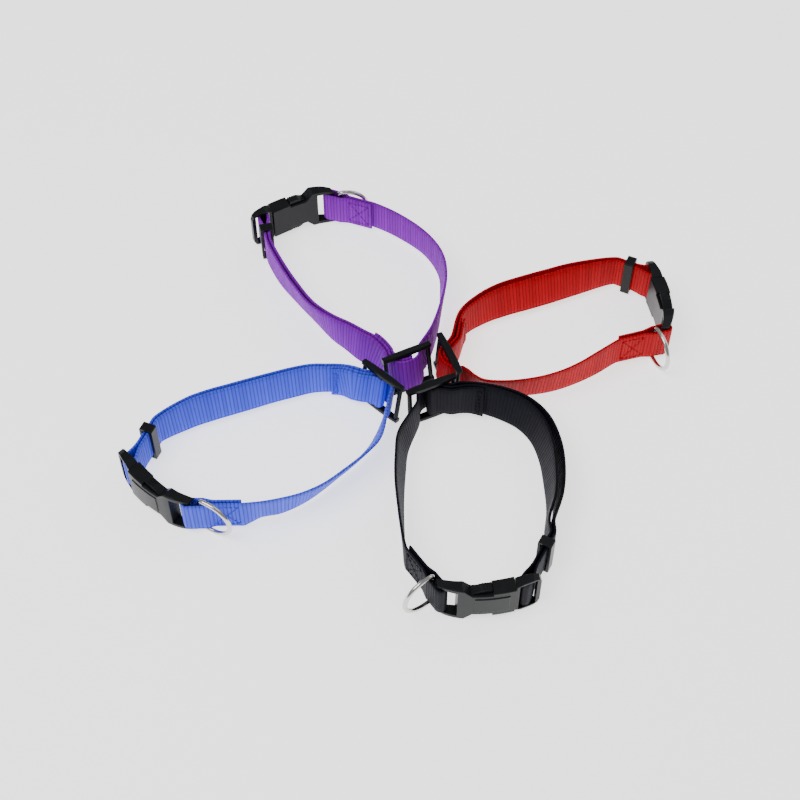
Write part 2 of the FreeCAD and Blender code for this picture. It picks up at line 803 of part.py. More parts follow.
for colour, collar in collars.items():
    side = collar["side"]
    x, y, angle = collar["buckle"]
    buckle = Frame(x, y, heading(angle), side)
    bar = buckle.point(value(barAlong), -value(barDrop))
    crossbar = buckle.point(value(crossbarAlong), -value(crossbarDrop))
    strand = Frame(bar.x, bar.y, heading(collar["strand"]), side)
    x, y, angle, lean = collar["slide"]
    tilt = math.radians(abs(lean))
    lowest = middle * math.cos(tilt) + value("slide_rail_middle") / 2 * math.sin(tilt)
    slide = Frame(x, y, heading(angle), side, lean, max(0, lowest - middle) + 0.02)
    loop = Frame(crossbar.x, crossbar.y, heading(collar["loop"] + 180), side)
    loopBack = Frame(crossbar.x, crossbar.y, heading(collar["loop"]), -side)

    # moulded and cast fittings
    settle(buildSocket(colour + "_socket"), colour + "_socket", buckle)
    settle(buildPlug(colour + "_plug"), colour + "_plug", buckle)
    settle(buildProng(colour + "_prong_upper", side), colour + "_prong_upper", buckle)
    settle(buildProng(colour + "_prong_lower", -side), colour + "_prong_lower", buckle)
    settle(buildSlide(colour + "_slide"), colour + "_slide", slide)
    setback = value("ring_setback")
    seat = strand.point(setback, 0)
    ring = Frame(seat.x, seat.y, heading(collar["strand"] + side * collar["ring"]), side)
    settle(buildRing(colour + "_d_ring"), colour + "_d_ring", ring)
    spot = loopBack.point(collar["keeper"], 0)
    keeper = Frame(spot.x, spot.y, loopBack.along, -side)
    settle(buildKeeper(colour + "_keeper"), colour + "_keeper", keeper)

    # main strap: sewn round the socket's bar, once round to the slide, then the outer layer to the plug
    fold = value("fold_length")
    spots = [27, 24, 21, 18, 15.5, 13, 10.5, 9.2, 7.8, 6.4, 5, 3, 1.5, 0]
    spots = [spot * fold / 27 if spot > 13 else spot for spot in spots]
    path = [strand.at(s, -foldSpread(s, True)) for s in spots]
    path += turnRound(strand, wrap)
    path += [strand.at(s, foldSpread(s, True)) for s in reversed(spots)]
    overBar = slideWrap + layerStep - 0.05
    half = value("slide_length") / 2
    grow = half / 14
    arriving = ((-9.8, -4.5), (-8.3, -0.9), (-5.2, 2.9), (-2.4, overBar - 0.1), (0, overBar))
    near = [slide.at(u * grow, v) for u, v in arriving]
    far = [slide.at(u * grow, v) for u, v in [(2.4, overBar - 0.1), (5.2, 2.9)] + collar["leaving"]]
    route = [strand.at(fold, layerStep / 2)] + standing(collar["single"], side)
    route = smoothed([strand.at(fold - 5, layerStep / 2)] + route + near[:2], 3.5)
    start = (strand.point(fold, layerStep / 2) - strand.point(fold - 5, layerStep / 2)).Length
    whole = lengths(route)[-1]
    last = (near[1][0] - near[0][0]).Length
    path += between(route, start + 3, whole - last - 1.5)
    path += near + far[:-1]

    # middle line of the doubled strand, from the slide's far end to the plug's crossbar
    plain = value("keeper_length") / 2 + collar["keeper"]
    ends = [loopBack.at(u, 0, layerStep) for u in (plain + 5, plain + 1, plain - 6, 0)]
    follow = smoothed(far, 1.5)
    centreLine = layered(follow, side, lambda n: -layerStep / 2)
    lead = [(point, across, layerStep + 0.65) for point, across, _ in (centreLine[-3], centreLine[-1])]
    doubled = smoothed(lead + standing(collar["doubled"], side) + ends, 3)
    doubled = between(doubled, (lead[1][0] - lead[0][0]).Length, lengths(doubled)[-1])
    total = lengths(doubled)[-1]
    cutAt = total - plain - 7.5
    upper = between(doubled, 0, cutAt)
    outer = layered(upper, side, lambda n: upper[n][2] / 2)
    inner = layered(upper, side, lambda n: -upper[n][2] / 2)
    path += outer
    strap(colour + "_strap_main", path)

    # tail strap: the inner layer back to the slide, round its middle bar and sewn down on itself
    entering = layered(follow, side, lambda n: -layerStep - 0.15)
    returning = layered(follow, side, lambda n: -2 * layerStep - 0.25)
    entering = [station for station in entering[:-2] if (station[0] - slide.place).dot(slide.along) > 2.6]
    returning = [s for s in returning[:-2] if (s[0] - slide.place).dot(slide.outward) < -3.2]
    back = between(doubled, 0, value("tail_fold_length") - half + 8)
    under = layered(back, side, lambda n: -back[n][2] / 2 - layerStep)
    curl = []
    for turn in range(30, -211, -30):
        swing = math.radians(turn)
        curl.append(slide.at(slideWrap * math.sin(swing), slideWrap * math.cos(swing)))
    tail = list(reversed(inner)) + list(reversed(entering)) + curl + returning + under
    strap(colour + "_strap_tail", tail)

    # the loop of the same strap round the plug's crossbar, which comes away with the plug
    lower = between(doubled, cutAt + 0.3, total)
    run = lengths(lower)
    left = [run[-1] - distance for distance in run]
    outs = normals(lower, side)
    spread = [foldSpread(distance, False) for distance in left]
    out = [(s[0] + outs[n] * spread[n], s[1], 0) for n, s in enumerate(lower)]
    home = [(s[0] - outs[n] * spread[n], s[1], 0) for n, s in enumerate(lower)]
    bend = []
    for turn in range(1, 6):
        swing = math.radians(30 * turn)
        swung = outs[-1] * (wrap * math.cos(swing)) + loop.along * (wrap * math.sin(swing))
        bend.append((crossbar + swung, up, 0))
    strap(colour + "_strap_plug_loop", out + bend + list(reversed(home)))

    # sewing
    sewn = [strand.at(s, 0) for s in range(0, int(fold) + 3)]
    threads(colour + "_ring_stitch", sewn, side, fold * 0.48, fold - 1.5, (layerStep / 2, -layerStep / 2))
    sewnTo = value("tail_fold_length") - half + 6.5
    threads(colour + "_tail_stitch", doubled, side, 10, sewnTo, (-layerStep * 1.5,))

doc.recompute()

os.makedirs("parts", exist_ok=True)
for item in doc.Objects:
    if "Invalid" in item.State or "Error" in item.State:
        raise RuntimeError(f"{item.Label} did not recompute: {item.State}")
for item in made:
    if item.Shape.isNull() or not item.Shape.isValid() or item.Shape.Volume <= 0:
        raise RuntimeError(f"{item.Label} is not a sound solid")
for item in made:
    item.Shape.exportStep(f"parts/{item.Label}.step")
    print(item.Label, round(item.Shape.Volume, 1))
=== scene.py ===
# Four webbing collars standing on edge in a rosette. Lengths inside the band code are millimetres.
import bpy
import math
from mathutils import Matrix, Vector


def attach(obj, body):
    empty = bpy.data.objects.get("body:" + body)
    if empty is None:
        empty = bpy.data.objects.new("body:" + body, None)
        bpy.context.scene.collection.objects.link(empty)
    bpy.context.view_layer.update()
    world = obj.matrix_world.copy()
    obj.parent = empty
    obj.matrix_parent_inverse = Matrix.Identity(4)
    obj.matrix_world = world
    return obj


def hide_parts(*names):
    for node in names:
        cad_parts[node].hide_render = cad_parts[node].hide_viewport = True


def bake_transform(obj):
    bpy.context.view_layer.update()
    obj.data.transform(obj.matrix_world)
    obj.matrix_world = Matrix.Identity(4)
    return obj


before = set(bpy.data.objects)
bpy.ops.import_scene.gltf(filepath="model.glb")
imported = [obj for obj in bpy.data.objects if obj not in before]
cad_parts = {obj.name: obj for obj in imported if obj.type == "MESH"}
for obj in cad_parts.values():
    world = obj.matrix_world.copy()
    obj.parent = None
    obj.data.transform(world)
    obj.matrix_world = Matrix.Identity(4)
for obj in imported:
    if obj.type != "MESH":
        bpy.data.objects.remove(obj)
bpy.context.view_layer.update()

# where the camera stands
view = {"target": (-0.0031, -0.0015, 0.0), "distance": 0.8, "elevation": 53, "lens": 67.05}


def placeCamera():
    data = bpy.data.cameras.new("studioCamera")
    data.lens = view["lens"]
    data.sensor_width = 36
    data.clip_start = 0.01
    camera = bpy.data.objects.new("studioCamera", data)
    rise = math.radians(view["elevation"])
    camera.location = Vector(view["target"]) + view["distance"] * Vector((0, -math.cos(rise), math.sin(rise)))
    camera.rotation_euler = (math.pi / 2 - rise, 0, 0)
    bpy.context.scene.collection.objects.link(camera)
    bpy.context.scene.camera = camera


placeCamera()
print("camera placed")

# the straps' routes, the same as the solids'
sizes = {
    "width": 20, "thickness": 1.7, "gap": 0.3, "middle": 13, "shiftX": 3.1, "shiftY": 1.5,
    "barAlong": 48.2, "barDrop": 3.9, "crossbarAlong": 7.5, "crossbarDrop": 2.0,
    "wrap": 2.5, "slideWrap": 2.25, "slideHalf": 14, "fold": 27, "tailFold": 20,
    "ringKept": 2.4, "keeperLength": 5,
}

collars = {
    "blue": {
        "side": -1, "buckle": (-143.4, -50.7, -42.6), "strand": 1,
        "slide": (-10.2, -4.0, 137.2, 10), "lift": 0.19,
        "single": [
            (-70, -78.2, 11), (-60, -76, 12), (-50, -72, 17), (-40.5, -66, 22), (-30.5, -57, 25),
            (-19.5, -46, 26), (-13, -37, 25),
        ],
        "doubled": [
            (-31, 4.6, 5, 2), (-39, 5, 4, 2), (-47, 4.6, 6, 2), (-58, 1.6, 8, 2.2),
            (-69, -2, 8, 2.4), (-80, -6, 9, 2.5), (-90, -9.7, 10, 2.5), (-100, -13.4, 11, 2.4),
            (-110, -18, 10, 2.2),
        ],
        "leaving": [(8.3, -0.9), (10.8, -2.9), (13.6, -4.4)], "keeper": 20, "loop": 66.8,
    },
    "violet": {
        "side": 1, "buckle": (-86, 114.6, 27.6), "strand": -20,
        "slide": (4.4, 10.6, 206, -12), "lift": 0.17,
        "single": [
            (-2, 117, 0), (14.5, 102, 0), (23, 86, 4), (24.3, 70, 8), (21.8, 50, 3),
            (17.2, 32, -3), (13.8, 24, -8),
        ],
        "doubled": [
            (-14.5, 23, -12, 2.7), (-21, 27.8, -11, 2.5), (-28.5, 34, -5, 2.2), (-36.5, 40, 2, 2),
            (-46.5, 50.5, 12, 2.2), (-57, 65, 9, 2.4), (-67, 81, 2, 2.3),
        ],
        "leaving": [(7.8, -0.8), (8.9, -4.6), (9, -9)], "keeper": 12.5, "loop": 282,
    },
    "red": {
        "side": 1, "buckle": (141, 80.3, -82.5), "strand": 196,
        "slide": (25.4, 12.2, 111.8, -4), "lift": 0.13,
        "single": [
            (106, 15.5, 0), (95, 8.5, 4), (85, 3.6, 7), (75, 0.4, 10), (65, -1.2, 13),
            (55, -0.9, 20), (44, 1.6, 26),
        ],
        "doubled": [
            (34, 43, 3, 2.2), (46, 54, 10, 3.4), (57, 60, 15, 4.4), (68, 64.3, 17, 4.8),
            (82, 69.4, 17, 4.6), (97, 75, 14, 3.8),
        ],
        "leaving": [(8, -0.9), (10, -4), (12.5, -7.5)], "keeper": 13, "loop": 155,
    },
    "black": {
        "side": 1, "buckle": (67.7, -124.95, 188), "strand": 125,
        "slide": (16.6, -9.4, 24.8, 4), "lift": 0.13,
        "single": [
            (1.5, -95, 4), (0.3, -80, 8), (-0.3, -65, 12), (0.2, -50, 14), (1.5, -37, 14),
        ],
        "doubled": [
            (37, -7.2, 6, 2), (47, -9.6, 12, 2.2), (56, -13, 16, 2.8), (65, -18.5, 17, 3.6),
            (72.5, -28, 17, 4.2), (77, -42, 16, 4.5), (78.3, -58, 14, 4.4), (77.5, -74, 9, 3.4),
            (74, -89, 2, 2.4),
        ],
        "leaving": [(8.3, -0.9), (11, -2.6), (14, -3.3)], "keeper": 23, "loop": 62,
    },
}

up = Vector((0, 0, 1))
layerStep = sizes["thickness"] + sizes["gap"]


def levelWay(degrees):
    return Vector((math.cos(math.radians(degrees)), math.sin(math.radians(degrees)), 0))


def makeFrame(x, y, along, side, lean=0, lift=0):
    level = Vector((-along.y, along.x, 0)) * side
    tilt = math.radians(lean)
    return {
        "place": Vector((x - sizes["shiftX"], y - sizes["shiftY"], sizes["middle"] + lift)),
        "along": along,
        "outward": level * math.cos(tilt) - up * math.sin(tilt),
        "across": up * math.cos(tilt) + level * math.sin(tilt),
    }


def pointAt(here, u, v):
    return here["place"] + here["along"] * u + here["outward"] * v


def stationAt(here, u, v, spread=0):
    return (pointAt(here, u, v), here["across"], spread)


def smoothed(stations, step):
    # a smooth path through the stations, with one about every step
    rows = [tuple(p) + tuple(a) + (e,) for p, a, e in stations]
    knots = [0.0]
    for before, after in zip(rows, rows[1:]):
        knots.append(knots[-1] + math.sqrt(max(math.dist(before[:3], after[:3]), 1e-6)))
    slopes = []
    for n, row in enumerate(rows):
        low, high = max(n - 1, 0), min(n + 1, len(rows) - 1)
        if low == n or high == n:
            slopes.append([(rows[high][k] - rows[low][k]) / (knots[high] - knots[low]) for k in range(7)])
            continue
        share = (knots[n] - knots[low]) / (knots[high] - knots[low])
        back = [(row[k] - rows[low][k]) / (knots[n] - knots[low]) for k in range(7)]
        ahead = [(rows[high][k] - row[k]) / (knots[high] - knots[n]) for k in range(7)]
        slopes.append([back[k] * (1 - share) + ahead[k] * share for k in range(7)])
    result = []
    for n in range(len(rows) - 1):
        width = knots[n + 1] - knots[n]
        pieces = max(1, round(math.dist(rows[n][:3], rows[n + 1][:3]) / step))
        for piece in range(pieces):
            t = piece / pieces
            a, b = 2 * t**3 - 3 * t**2 + 1, (t**3 - 2 * t**2 + t) * width
            c, d = 3 * t**2 - 2 * t**3, (t**3 - t**2) * width
            near, far = rows[n], rows[n + 1]
            mixed = [near[k] * a + slopes[n][k] * b + far[k] * c + slopes[n + 1][k] * d for k in range(7)]
            result.append((Vector(mixed[:3]), Vector(mixed[3:6]).normalized(), mixed[6]))
    result.append(stations[-1])
    return result


def runLengths(stations):
    run = [0.0]
    for before, after in zip(stations, stations[1:]):
        run.append(run[-1] + (after[0] - before[0]).length)
    return run


def faceWays(stations, side):
    # the way out of the webbing's outer face at each station
    result = []
    for n, station in enumerate(stations):
        along = stations[min(n + 1, len(stations) - 1)][0] - stations[max(n - 1, 0)][0]
        result.append(station[1].cross(along).normalized() * side)
    return result


def standing(points, side):
    result = []
    for n, (x, y, lean, *spread) in enumerate(points):
        before, after = points[max(n - 1, 0)], points[min(n + 1, len(points) - 1)]
        along = Vector((after[0] - before[0], after[1] - before[1], 0)).normalized()
        outward = Vector((-along.y, along.x, 0)) * side
        tilt = math.radians(lean)
        place = Vector((x - sizes["shiftX"], y - sizes["shiftY"], sizes["middle"]))
        result.append((place, up * math.cos(tilt) + outward * math.sin(tilt), spread[0] if spread else 0))
    return result


def stationBetween(one, two, share):
    spread = one[2] * (1 - share) + two[2] * share
    return (one[0].lerp(two[0], share), one[1].lerp(two[1], share).normalized(), spread)


def between(stations, start, finish):
    run = runLengths(stations)

    def at(distance):
        for n in range(len(run) - 1):
            if run[n + 1] >= distance:
                share = (distance - run[n]) / max(run[n + 1] - run[n], 1e-9)
                return stationBetween(stations[n], stations[n + 1], share)
        return stations[-1]

    inside = [s for s, along in zip(stations, run) if start + 0.4 < along < finish - 0.4]
    return [at(start)] + inside + [at(finish)]


def layered(stations, side, offset):
    outs = faceWays(stations, side)
    return [(s[0] + outs[n] * offset(n), s[1], s[2]) for n, s in enumerate(stations)]


def foldSpread(distance, held):
    wrap = sizes["wrap"]
    table = [(0, wrap), (3, wrap), (5, wrap * 0.8), (7.5, wrap * 0.56)]
    table += [(10, layerStep / 2 + 0.05), (13, layerStep / 2)]
    if held:
        kept = sizes["ringKept"]
        table = [(0, wrap), (3, wrap), (5, kept), (7.8, kept), (10.5, kept * 0.7)]
        table += [(13, layerStep / 2 + 0.1), (18, layerStep / 2)]
    for (near, a), (far, b) in zip(table, table[1:]):
        if distance <= far:
            return a + (b - a) * (distance - near) / (far - near)
    return layerStep / 2


def bandRoutes(collar):
    side = collar["side"]
    x, y, angle = collar["buckle"]
    buckle = makeFrame(x, y, levelWay(angle), side)
    shift = Vector((sizes["shiftX"], sizes["shiftY"], 0))
    bar = pointAt(buckle, sizes["barAlong"], -sizes["barDrop"]) + shift
    crossbar = pointAt(buckle, sizes["crossbarAlong"], -sizes["crossbarDrop"]) + shift
    strand = makeFrame(bar.x, bar.y, levelWay(collar["strand"]), side)
    x, y, angle, lean = collar["slide"]
    slide = makeFrame(x, y, levelWay(angle), side, lean, collar["lift"])
    loopBack = makeFrame(crossbar.x, crossbar.y, levelWay(collar["loop"]), -side)
    fold, half, wrap = sizes["fold"], sizes["slideHalf"], sizes["wrap"]

    # sewn fold round the socket's bar, then the single strand into the slide
    spots = [27, 24, 21, 18, 15.5, 13, 10.5, 9.2, 7.8, 6.4, 5, 3, 1.5, 0]
    path = [stationAt(strand, s, -foldSpread(s, True)) for s in spots]
    for turn in range(30, 151, 30):
        swing = math.radians(turn)
        path.append(stationAt(strand, -wrap * math.sin(swing), -wrap * math.cos(swing)))
    path += [stationAt(strand, s, foldSpread(s, True)) for s in reversed(spots)]
    overBar = sizes["slideWrap"] + layerStep - 0.05
    arriving = ((-9.8, -4.5), (-8.3, -0.9), (-5.2, 2.9), (-2.4, overBar - 0.1), (0, overBar))
    near = [stationAt(slide, u, v) for u, v in arriving]
    far = [stationAt(slide, u, v) for u, v in [(2.4, overBar - 0.1), (5.2, 2.9)] + collar["leaving"]]
    route = [stationAt(strand, s, layerStep / 2) for s in (fold - 5, fold)]
    route += standing(collar["single"], side) + near[:2]
    route = smoothed(route, 3.5)
    path += between(route, 8, runLengths(route)[-1] - (near[1][0] - near[0][0]).length - 1.5)
    path += near + far[:-1]

    # doubled strand's middle line, from the slide to the plug's crossbar
    plain = sizes["keeperLength"] / 2 + collar["keeper"]
    ends = [stationAt(loopBack, s, 0, layerStep) for s in (plain + 5, plain + 1, plain - 6, 0)]
    follow = smoothed(far, 1.5)
    centreLine = layered(follow, side, lambda n: -layerStep / 2)
    lead = [(point, across, layerStep + 0.65) for point, across, _ in (centreLine[-3], centreLine[-1])]
    doubled = smoothed(lead + standing(collar["doubled"], side) + ends, 3)
    doubled = between(doubled, (lead[1][0] - lead[0][0]).length, runLengths(doubled)[-1])
    total = runLengths(doubled)[-1]
    joinAt = total - collar["keeper"] - 42
    upper = between(doubled, 0, joinAt)
    path += layered(upper, side, lambda n: upper[n][2] / 2)

    # the tail, back round the slide's middle bar and sewn to itself
    entering = layered(follow, side, lambda n: -layerStep - 0.15)
    returning = layered(follow, side, lambda n: -2 * layerStep - 0.25)
    entering = [s for s in entering[:-2] if (s[0] - slide["place"]).dot(slide["along"]) > 2.6]
    returning = [s for s in returning[:-2] if (s[0] - slide["place"]).dot(slide["outward"]) < -3.2]
    back = between(doubled, 0, sizes["tailFold"] - half + 8)
    under = layered(back, side, lambda n: -back[n][2] / 2 - layerStep)
    curl = []
    for turn in range(30, -211, -30):
        swing = math.radians(turn)
        reach = sizes["slideWrap"]
        curl.append(stationAt(slide, reach * math.sin(swing), reach * math.cos(swing)))
    inner = layered(upper, side, lambda n: -upper[n][2] / 2)
    tail = list(reversed(inner)) + list(reversed(entering)) + curl + returning + under

    # the end that loops round the crossbar
    lower = between(doubled, joinAt, total)
    run = runLengths(lower)
    outs = faceWays(lower, side)
    spread = []
    for n, along in enumerate(run):
        left = run[-1] - along
        if left < collar["keeper"]:
            spread.append(foldSpread(left, False))
        else:
            spread.append(max(lower[n][2] / 2, layerStep / 2))
    out = [(s[0] + outs[n] * spread[n], s[1], 0) for n, s in enumerate(lower)]
    home = [(s[0] - outs[n] * spread[n], s[1], 0) for n, s in enumerate(lower)]
    centre = lower[-1][0]
    bend = []
    for turn in range(30, 151, 30):
        swing = math.radians(turn)
        swung = outs[-1] * (wrap * math.cos(swing)) - loopBack["along"] * (wrap * math.sin(swing))
        bend.append((centre + swung, up.copy(), 0))
    loop = out + bend + list(reversed(home))
    sewn = [stationAt(strand, s, 0) for s in range(0, fold + 3)]
    return {"main": path, "tail": tail, "loop": loop, "sewn": sewn, "doubled": doubled, "lower": lower}


# webbing as ribbed band meshes, in millimetres
band = {"ribPitch": 1.9, "ribHeight": 0.26, "rowStep": 0.24, "selvedge": 1.15, "wobble": 0.05}


def bandProfile():
    # (across, share of half thickness, rib strength) round the section, outer face first
    half = sizes["width"] / 2
    edge = [(-half + 0.02, 0.12, 0), (-half + 0.28, 0.62, 0.15), (-half + 0.75, 0.86, 0.5)]
    edge += [(-half + band["selvedge"], 0.74, 0.35), (-half + 1.6, 0.95, 1)]
    middle = [(w, 1.0, 1) for w in (-6.4, -4.3, -2.1, 0, 2.1, 4.3, 6.4)]
    face = edge + middle + [(-w, t, r) for w, t, r in reversed(edge)]
    return face, [(w, -t, r) for w, t, r in reversed(face)]


def bandMesh(name, stations, startAt=0.0):
    rows = smoothed(stations, band["rowStep"])
    run = runLengths(rows)
    outs = faceWays(rows, 1)
    face, backFace = bandProfile()
    section = face + backFace
    half = sizes["thickness"] / 2
    verts, coords, faces = [], [], []
    for n, (place, across, _) in enumerate(rows):
        along = (rows[min(n + 1, len(rows) - 1)][0] - rows[max(n - 1, 0)][0]).normalized()
        across = (across - along * across.dot(along)).normalized()
        phase = (run[n] + startAt) / band["ribPitch"]
        number = math.floor(phase)
        rise = abs(math.sin(math.pi * phase)) ** 0.6
        uneven = 1 - 0.3 * (math.sin(number * 12.9898) * 43758.5453 % 1)
        drift = band["wobble"] * math.sin((run[n] + startAt) * 0.21) * math.sin((run[n] + startAt) * 0.047)
        for w, share, strength in section:
            depth = half * abs(share) - band["ribHeight"] * (1 - rise * uneven) * strength
            sideways = across * (w + (drift if w > 0 else -drift))
            outwards = outs[n] * math.copysign(max(depth, 0.05), share)
            verts.append((place + sideways + outwards) * 0.001)
            coords.append(((run[n] + startAt) * 0.001, w * 0.001))
    count = len(section)
    for n in range(len(rows) - 1):
        for k in range(count):
            a, b = n * count + k, n * count + (k + 1) % count
            faces.append((a, b, b + count, a + count))
    faces.append(tuple(reversed(range(count))))
    faces.append(tuple(range(len(verts) - count, len(verts))))
    mesh = bpy.data.meshes.new(name)
    mesh.from_pydata([tuple(v) for v in verts], [], faces)
    layer = mesh.uv_layers.new(name="band")
    for loopPart in mesh.loops:
        layer.data[loopPart.index].uv = coords[loopPart.vertex_index]
    mesh.shade_smooth()
    mesh.validate()
    item = bpy.data.objects.new(name, mesh)
    bpy.context.scene.collection.objects.link(item)
    return item, run[-1]


# rows of short rounded stitches on the webbing's faces
sewing = {"length": 2.1, "space": 0.55, "radius": 0.24, "sink": 0.10, "inset": 2.6}


def stitchMesh(name, path, side, start, finish, offsets):
    reach = sizes["width"] / 2 - sewing["inset"]
    # the four sides of the sewn box, then its cross
    seams = [((start, reach), (finish, reach)), ((start, -reach), (finish, -reach))]
    seams += [((start, -reach), (start, reach)), ((finish, -reach), (finish, reach))]
    seams += [((start, reach), (finish, -reach)), ((start, -reach), (finish, reach))]
    fine = between(path, start - 2, finish + 2)
    run = runLengths(fine)
    outs = faceWays(fine, side)
    verts, faces = [], []

    def surface(s, w, offset):
        s = min(max(s - start + 2, 0), run[-1] - 1e-6)
        n = max(k for k in range(len(run) - 1) if run[k] <= s)
        share = (s - run[n]) / max(run[n + 1] - run[n], 1e-9)
        place, across, _ = stationBetween(fine[n], fine[n + 1], share)
        return place + across * w + outs[n].lerp(outs[n + 1], share).normalized() * offset, outs[n]

    for offset in offsets:
        outer = offset + math.copysign(sizes["thickness"] / 2, offset)
        for (s0, w0), (s1, w1) in seams:
            length = math.hypot(s1 - s0, w1 - w0)
            pitch = sewing["length"] + sewing["space"]
            count = max(2, round(length / pitch))
            for number in range(count):
                a, b = (number + 0.12) / count, (number + 0.88) / count
                ring = []
                for piece in range(7):
                    t = a + (b - a) * piece / 6
                    swell = math.sin(math.pi * (0.12 + 0.76 * piece / 6)) ** 0.7
                    dip = sewing["radius"] * (swell - 0.6) - sewing["sink"]
                    raised = outer + math.copysign(dip, offset)
                    place, out = surface(s0 + (s1 - s0) * t, w0 + (w1 - w0) * t, raised)
                    ring.append((place, out, swell))
                for piece, (place, out, swell) in enumerate(ring):
                    along = (ring[min(piece + 1, 6)][0] - ring[max(piece - 1, 0)][0]).normalized()
                    flat = out.cross(along).normalized()
                    for turn in range(8):
                        angle = math.tau * turn / 8
                        spoke = flat * math.cos(angle) * 1.15 + out * math.sin(angle)
                        verts.append((place + spoke * sewing["radius"] * swell) * 0.001)
                base = len(verts) - 7 * 8
                for piece in range(6):
                    for turn in range(8):
                        p, q = base + piece * 8 + turn, base + piece * 8 + (turn + 1) % 8
                        faces.append((p, q, q + 8, p + 8))
                faces.append(tuple(reversed(range(base, base + 8))))
                faces.append(tuple(range(base + 48, base + 56)))
    mesh = bpy.data.meshes.new(name)
    mesh.from_pydata([tuple(v) for v in verts], [], faces)
    mesh.shade_smooth()
    item = bpy.data.objects.new(name, mesh)
    bpy.context.scene.collection.objects.link(item)
    return item


# finishes
def addNode(tree, kind, **sockets):
    node = tree.nodes.new(kind)
    for name, content in sockets.items():
        node.inputs[name.replace("_", " ")].default_value = content
    return node


def joinSockets(tree, source, target):
    tree.links.new(source, target)


def mathNode(tree, operation, first, second=None):
    node = tree.nodes.new("ShaderNodeMath")
    node.operation = operation
    for socket, content in zip(node.inputs, (first, second)):
        if content is None:
            continue
        if isinstance(content, (int, float)):
            socket.default_value = content
        else:
            tree.links.new(content, socket)
    return node.outputs[0]


def makeWeaveGroup():
    # yarns of the webbing: crosswise ribs broken into strands, with a plainer selvedge at each edge, and a
    # mask of painted shade in the grooves between the ribs
    group = bpy.data.node_groups.new("webbingWeave", "ShaderNodeTree")
    face = group.interface
    for name, start in (("Rib pitch", 0.0019), ("Strand pitch", 0.0009), ("Half width", 0.01)):
        socket = face.new_socket(name=name, in_out="INPUT", socket_type="NodeSocketFloat")
        socket.default_value = start
    for name in ("Height", "PaintedGrooveShade", "Selvedge", "Unevenness"):
        face.new_socket(name=name, in_out="OUTPUT", socket_type="NodeSocketFloat")
    entry = group.nodes.new("NodeGroupInput")
    leave = group.nodes.new("NodeGroupOutput")
    uv = group.nodes.new("ShaderNodeUVMap")
    uv.uv_map = "band"
    parts = group.nodes.new("ShaderNodeSeparateXYZ")
    joinSockets(group, uv.outputs[0], parts.inputs[0])
    along, across = parts.outputs[0], parts.outputs[1]
    ribPhase = mathNode(group, "DIVIDE", along, entry.outputs["Rib pitch"])
    ribTurn = mathNode(group, "MULTIPLY", ribPhase, math.pi)
    ribWave = mathNode(group, "ABSOLUTE", mathNode(group, "SINE", ribTurn))
    strandPhase = mathNode(group, "DIVIDE", across, entry.outputs["Strand pitch"])
    odd = mathNode(group, "MULTIPLY", mathNode(group, "MODULO", mathNode(group, "FLOOR", ribPhase), 2), 0.5)
    strandTurn = mathNode(group, "MULTIPLY", mathNode(group, "ADD", strandPhase, odd), math.pi)
    strandWave = mathNode(group, "ABSOLUTE", mathNode(group, "SINE", strandTurn))
    fineNoise = addNode(group, "ShaderNodeTexNoise", Scale=900.0, Detail=3.0)
    stretch = group.nodes.new("ShaderNodeCombineXYZ")
    joinSockets(group, mathNode(group, "MULTIPLY", along, 2.2), stretch.inputs[0])
    joinSockets(group, mathNode(group, "MULTIPLY", across, 0.5), stretch.inputs[1])
    joinSockets(group, stretch.outputs[0], fineNoise.inputs["Vector"])
    ribPart = mathNode(group, "MULTIPLY", ribWave, 0.45)
    strandPart = mathNode(group, "MULTIPLY", strandWave, 0.3)
    finePart = mathNode(group, "MULTIPLY", fineNoise.outputs[0], 0.35)
    height = mathNode(group, "ADD", mathNode(group, "ADD", ribPart, strandPart), finePart)
    joinSockets(group, height, leave.inputs["Height"])
    # painted shade in the grooves between the ribs: darkest midway between rib crests
    paintedGrooveShade = mathNode(group, "POWER", mathNode(group, "SUBTRACT", 1.0, ribWave), 2.0)
    joinSockets(group, paintedGrooveShade, leave.inputs["PaintedGrooveShade"])
    edge = mathNode(group, "SUBTRACT", entry.outputs["Half width"], mathNode(group, "ABSOLUTE", across))
    line = mathNode(group, "ABSOLUTE", mathNode(group, "SUBTRACT", edge, 0.00115))
    joinSockets(group, mathNode(group, "LESS_THAN", line, 0.00022), leave.inputs["Selvedge"])
    perRib = group.nodes.new("ShaderNodeTexWhiteNoise")
    perRib.noise_dimensions = "1D"
    joinSockets(group, mathNode(group, "FLOOR", ribPhase), perRib.inputs["W"])
    cloud = addNode(group, "ShaderNodeTexNoise", Scale=60.0, Detail=2.0)
    joinSockets(group, uv.outputs[0], cloud.inputs["Vector"])
    ribShare = mathNode(group, "MULTIPLY", perRib.outputs[0], 0.55)
    uneven = mathNode(group, "ADD", ribShare, mathNode(group, "MULTIPLY", cloud.outputs[0], 0.6))
    joinSockets(group, uneven, leave.inputs["Unevenness"])
    return group


